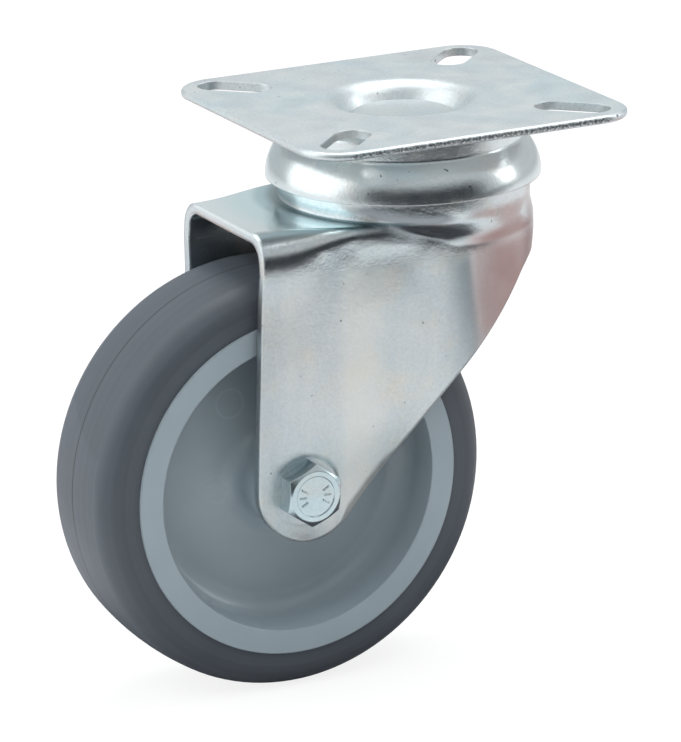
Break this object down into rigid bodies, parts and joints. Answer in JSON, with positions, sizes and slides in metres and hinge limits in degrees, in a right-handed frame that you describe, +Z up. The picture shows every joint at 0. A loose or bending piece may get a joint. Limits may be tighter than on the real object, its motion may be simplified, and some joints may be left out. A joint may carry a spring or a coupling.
{
  "type": "swivel castor",
  "caption": "Swivel castor with a slotted top plate, a pressed steel fork on two ball rows and a grey rubber-tyred plastic wheel on a plain axle.",
  "frame": {"origin": "on the swivel axis, at the top face of the plate, in the middle of its four slots", "axes": "+Z up out of the plate, along the swivel axis; the wheel trails towards -X; the axle runs along Y, its nut towards +Y"},
  "size_m": [0.1281, 0.08, 0.1345],
  "materials": {
    "top_plate": "bright zinc plated, pressed and sheared",
    "kingpin": "bright zinc plated rivet",
    "upper_race_ring": "bright zinc plated, drawn",
    "upper_balls": "polished ball steel",
    "fork": "bright zinc plated, drawn and folded",
    "lower_balls": "polished ball steel",
    "lower_race_cup": "zinc plated, drawn",
    "axle_bolt": "bright zinc plated, cold headed",
    "axle_sleeve": "plain drawn tube, greased",
    "lock_nut": "bright zinc plated",
    "lock_nut_insert": "natural nylon",
    "hub": "moulded polypropylene, satin",
    "tyre": "moulded thermoplastic rubber, satin"
  },
  "bodies": {
    "mounting_head": {"top_plate": "top_plate", "kingpin": "kingpin", "upper_race_ring": "upper_race_ring", "lower_race_cup": "lower_race_cup"},
    "upper_ball_row": {"upper_balls": "upper_balls"},
    "lower_ball_row": {"lower_balls": "lower_balls"},
    "swivel_fork": {"fork": "fork", "axle_bolt": "axle_bolt", "axle_sleeve": "axle_sleeve", "lock_nut": "lock_nut", "lock_nut_insert": "lock_nut_insert"},
    "wheel": {"hub": "hub", "tyre": "tyre"}
  },
  "joints": [
    {"name": "swivel", "type": "hinge", "parent": "mounting_head", "child": "swivel_fork", "pos_m": [0, 0, -0.01], "axis": [0, 0, 1], "continuous": true},
    {"name": "upper_row_roll", "type": "hinge", "parent": "mounting_head", "child": "upper_ball_row", "pos_m": [0, 0, -0.0066], "axis": [0, 0, 1], "continuous": true},
    {"name": "lower_row_roll", "type": "hinge", "parent": "mounting_head", "child": "lower_ball_row", "pos_m": [0, 0, -0.0137], "axis": [0, 0, 1], "continuous": true},
    {"name": "wheel_spin", "type": "hinge", "parent": "swivel_fork", "child": "wheel", "pos_m": [-0.0366, 0, -0.0845], "axis": [0, 1, 0], "continuous": true}
  ],
  "couplings": [
    {"joint": "upper_row_roll", "follows": "swivel", "ratio": 0.5},
    {"joint": "lower_row_roll", "follows": "swivel", "ratio": 0.5}
  ]
}
